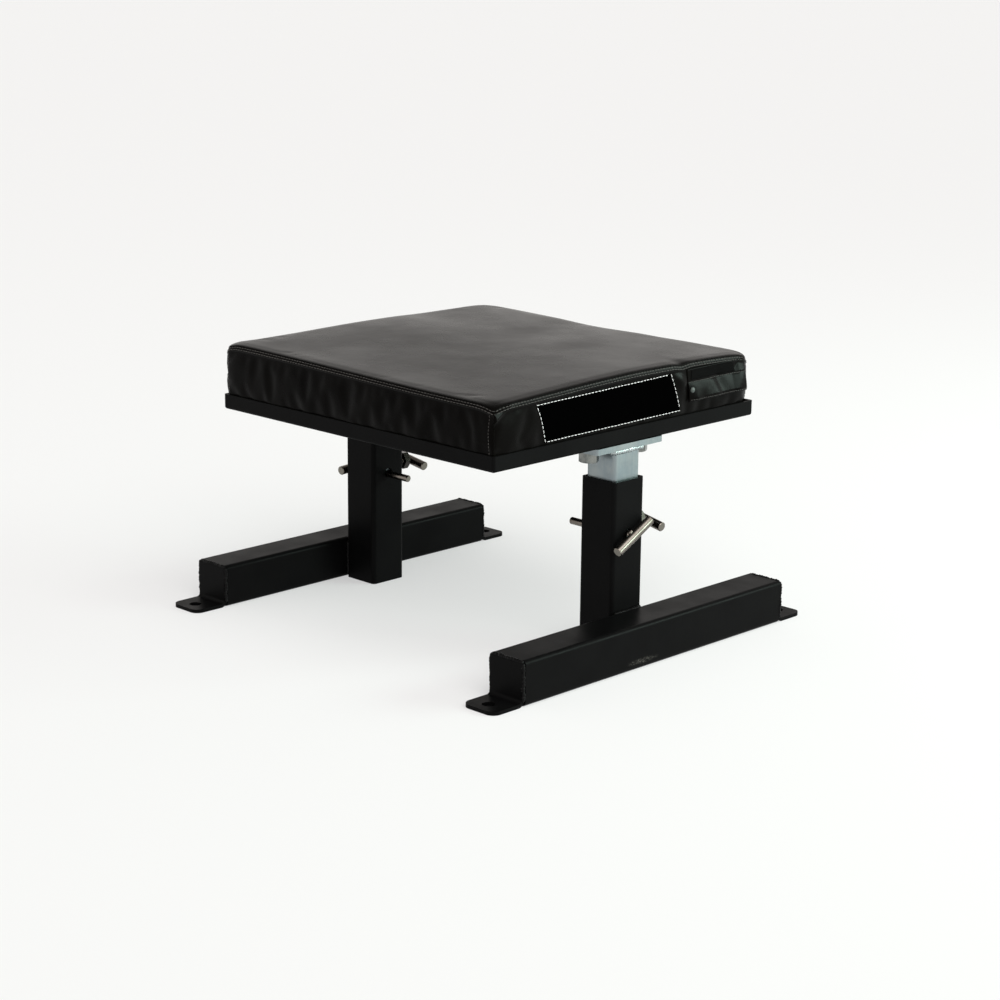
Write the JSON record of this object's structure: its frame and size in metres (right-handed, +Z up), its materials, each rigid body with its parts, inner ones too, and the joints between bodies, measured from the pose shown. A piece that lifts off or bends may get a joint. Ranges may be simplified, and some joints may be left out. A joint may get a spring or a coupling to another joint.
{
  "type": "adjustable squat box",
  "caption": "Height-adjustable padded squat box: an upholstered seat in a steel tray on telescoping legs with locking pins, clamp screws and floor feet.",
  "frame": {"origin": "on the floor, midway between the two legs and midway along the base tubes", "axes": "+X from the left leg to the right leg, +Y along the base tubes from the front to the rear, where the clamp screws are, +Z up"},
  "size_m": [0.648, 0.62, 0.3879],
  "materials": {
    "black_powder_coat": "satin black powder coat",
    "zinc_plate": "bright zinc plating",
    "zinc_fastener": "zinc-plated fastener",
    "bare_steel": "dull nickel-plated bar",
    "plywood": "matte",
    "foam": "matte",
    "black_vinyl": "satin",
    "patch_cloth": "matte"
  },
  "bodies": {
    "platform": {"tray": "black_powder_coat", "pad_board": "plywood", "pad_foam": "foam", "pad_cover": "black_vinyl", "label_patch": "patch_cloth", "closure_flap": "black_vinyl", "pad_screw_1": "zinc_fastener", "pad_screw_2": "zinc_fastener", "pad_screw_3": "zinc_fastener", "pad_screw_4": "zinc_fastener", "left_inner_tube": "zinc_plate", "left_flange": "zinc_plate", "left_front_bolt": "zinc_fastener", "left_front_nut": "zinc_fastener", "left_front_washer": "zinc_fastener", "left_rear_bolt": "zinc_fastener", "left_rear_nut": "zinc_fastener", "left_rear_washer": "zinc_fastener", "right_inner_tube": "zinc_plate", "right_flange": "zinc_plate", "right_front_bolt": "zinc_fastener", "right_front_nut": "zinc_fastener", "right_front_washer": "zinc_fastener", "right_rear_bolt": "zinc_fastener", "right_rear_nut": "zinc_fastener", "right_rear_washer": "zinc_fastener"},
    "left_leg": {"left_base_tube": "black_powder_coat", "left_upright": "black_powder_coat", "left_front_foot": "black_powder_coat", "left_rear_foot": "black_powder_coat", "left_clamp_nut": "black_powder_coat"},
    "left_locking_pin": {"left_pin": "bare_steel", "left_pin_bar": "bare_steel"},
    "left_clamp": {"left_clamp_screw": "bare_steel", "left_clamp_bar": "bare_steel"},
    "right_leg": {"right_base_tube": "black_powder_coat", "right_upright": "black_powder_coat", "right_front_foot": "black_powder_coat", "right_rear_foot": "black_powder_coat", "right_clamp_nut": "black_powder_coat"},
    "right_locking_pin": {"right_pin": "bare_steel", "right_pin_bar": "bare_steel"},
    "right_clamp": {"right_clamp_screw": "bare_steel", "right_clamp_bar": "bare_steel"}
  },
  "joints": [
    {"name": "left_leg_slide", "type": "slide", "parent": "platform", "child": "left_leg", "axis": [0, 0, -1], "range_m": [0, 0.12]},
    {"name": "right_leg_slide", "type": "slide", "parent": "platform", "child": "right_leg", "axis": [0, 0, -1], "range_m": [0, 0.12]},
    {"name": "left_pin_pull", "type": "slide", "parent": "left_leg", "child": "left_locking_pin", "axis": [-1, 0, 0], "range_m": [0, 0.1]},
    {"name": "left_clamp_turn", "type": "hinge", "parent": "left_leg", "child": "left_clamp", "pos_m": [-0.234, 0.0374, 0.17], "axis": [0, 1, 0], "range_deg": [0, 360]},
    {"name": "right_pin_pull", "type": "slide", "parent": "right_leg", "child": "right_locking_pin", "axis": [1, 0, 0], "range_m": [0, 0.1]},
    {"name": "right_clamp_turn", "type": "hinge", "parent": "right_leg", "child": "right_clamp", "pos_m": [0.234, 0.0374, 0.17], "axis": [0, 1, 0], "range_deg": [0, 360]}
  ]
}
